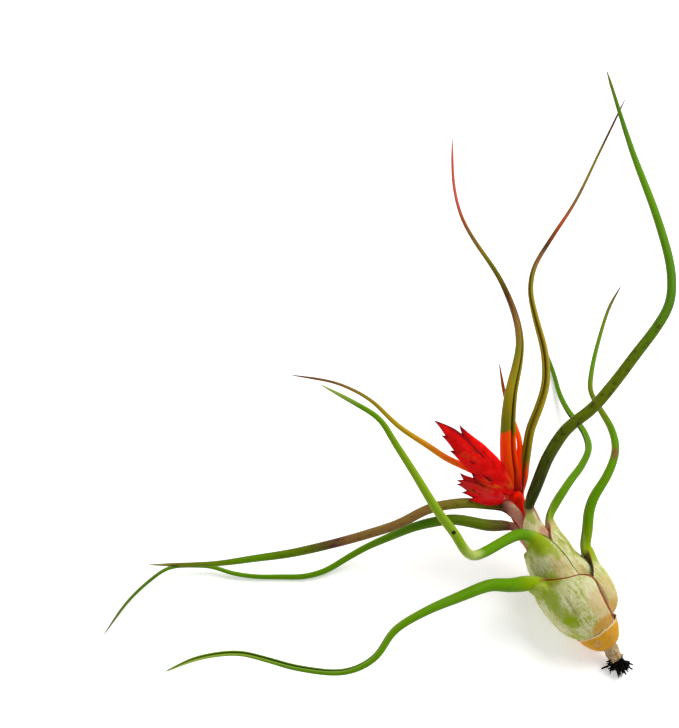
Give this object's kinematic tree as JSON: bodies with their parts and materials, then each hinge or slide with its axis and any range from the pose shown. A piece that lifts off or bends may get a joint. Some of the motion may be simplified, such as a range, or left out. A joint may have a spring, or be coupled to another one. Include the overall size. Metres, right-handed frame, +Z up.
{
  "type": "bulbosa air plant",
  "caption": "Rootless air plant lying on its side: a hollow bulb of nested leaf sheaths whose rolled blades wave outwards, with red flower spikes at the neck",
  "frame": {"origin": "the small flat spot under the bulb on which the plant rests", "axes": "+Z up; the neck of the bulb points to +Y and -X, the roots to -Y and +X"},
  "size_m": [0.2, 0.231, 0.094],
  "materials": {
    "stem": "woody, dull",
    "roots": "wiry, dull black",
    "base_husk": "dry and papery",
    "leaf_front_low": "satin leaf, powdery at the bulb",
    "leaf_right_outer": "satin leaf, powdery at the bulb",
    "leaf_front_bent": "satin leaf, powdery at the bulb",
    "leaf_right_inner": "satin leaf, powdery at the bulb",
    "leaf_left_green": "satin leaf",
    "leaf_left_maroon": "satin leaf",
    "leaf_tall_right": "satin leaf, mottled dark",
    "leaf_tall_left": "satin leaf, red at its base",
    "leaf_tall_gold": "satin leaf, gold and brown",
    "bract_leaf_left": "satin leaf, orange",
    "bract_leaf_up": "satin leaf, orange",
    "spike_long": "waxy bracts",
    "spike_short": "waxy bracts"
  },
  "bodies": {
    "root": {"leaf_front_low": "leaf_front_low", "leaf_right_outer": "leaf_right_outer", "leaf_front_bent": "leaf_front_bent", "leaf_right_inner": "leaf_right_inner", "leaf_tall_right": "leaf_tall_right", "leaf_left_green": "leaf_left_green", "leaf_left_maroon": "leaf_left_maroon", "leaf_tall_left": "leaf_tall_left", "leaf_tall_gold": "leaf_tall_gold", "bract_leaf_left": "bract_leaf_left", "bract_leaf_up": "bract_leaf_up", "spike_long": "spike_long", "spike_short": "spike_short", "stem": "stem", "base_husk": "base_husk", "roots": "roots"}
  },
  "joints": []
}
